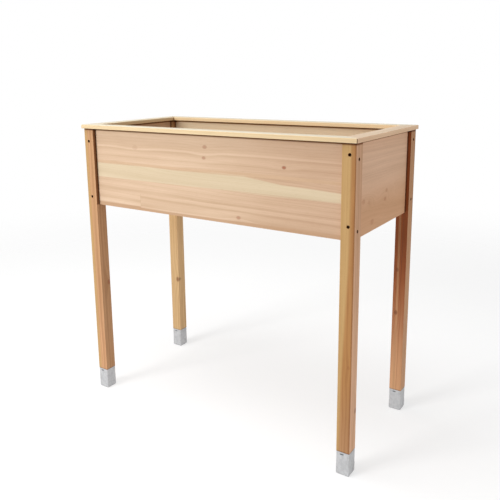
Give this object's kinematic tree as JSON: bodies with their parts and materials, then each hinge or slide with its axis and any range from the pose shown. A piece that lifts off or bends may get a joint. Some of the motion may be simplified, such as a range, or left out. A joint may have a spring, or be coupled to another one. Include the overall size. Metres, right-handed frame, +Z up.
{
  "type": "raised planter on legs",
  "caption": "Rectangular wooden planting box held at waist height between square legs, with a mitred rim and metal leg caps.",
  "frame": {"origin": "floor level, centred under the planter", "axes": "+X along the long side to the right, -Y is the front, +Z is up"},
  "size_m": [0.88, 0.416, 0.84],
  "materials": {
    "leg_wood": "planed golden softwood, grain along the leg, unfinished",
    "panel_wood": "planed pale pinkish cedar with small knots, unfinished",
    "rim_wood": "planed cream softwood, grain along each board, unfinished",
    "floor_wood": "sawn softwood, unfinished",
    "cap_metal": "satin zinc-coated sheet",
    "screw_metal": "dark coated steel",
    "staple_metal": "galvanised wire, darker than the caps"
  },
  "bodies": {
    "root": {"leg_front_left": "leg_wood", "leg_front_right": "leg_wood", "leg_back_left": "leg_wood", "leg_back_right": "leg_wood", "leg_cap_front_left": "cap_metal", "leg_cap_front_right": "cap_metal", "leg_cap_back_left": "cap_metal", "leg_cap_back_right": "cap_metal", "panel_front": "panel_wood", "panel_back": "panel_wood", "panel_left": "panel_wood", "panel_right": "panel_wood", "rim_front": "rim_wood", "rim_back": "rim_wood", "rim_left": "rim_wood", "rim_right": "rim_wood", "ledger_front": "floor_wood", "ledger_back": "floor_wood", "floor_board_1": "floor_wood", "floor_board_2": "floor_wood", "floor_board_3": "floor_wood", "floor_board_4": "floor_wood", "floor_board_5": "floor_wood", "floor_board_6": "floor_wood", "floor_board_7": "floor_wood", "floor_board_8": "floor_wood", "screw_front_left_long_upper": "screw_metal", "screw_front_left_long_lower": "screw_metal", "screw_front_left_end_upper": "screw_metal", "screw_front_left_end_lower": "screw_metal", "screw_front_right_long_upper": "screw_metal", "screw_front_right_long_lower": "screw_metal", "screw_front_right_end_upper": "screw_metal", "screw_front_right_end_lower": "screw_metal", "screw_back_left_long_upper": "screw_metal", "screw_back_left_long_lower": "screw_metal", "screw_back_left_end_upper": "screw_metal", "screw_back_left_end_lower": "screw_metal", "screw_back_right_long_upper": "screw_metal", "screw_back_right_long_lower": "screw_metal", "screw_back_right_end_upper": "screw_metal", "screw_back_right_end_lower": "screw_metal", "ledger_screw_front_1": "screw_metal", "ledger_screw_front_2": "screw_metal", "ledger_screw_front_3": "screw_metal", "ledger_screw_back_1": "screw_metal", "ledger_screw_back_2": "screw_metal", "ledger_screw_back_3": "screw_metal", "cap_staple_front_left": "staple_metal", "cap_staple_front_right": "staple_metal", "cap_staple_back_left": "staple_metal", "cap_staple_back_right": "staple_metal"}
  },
  "joints": []
}
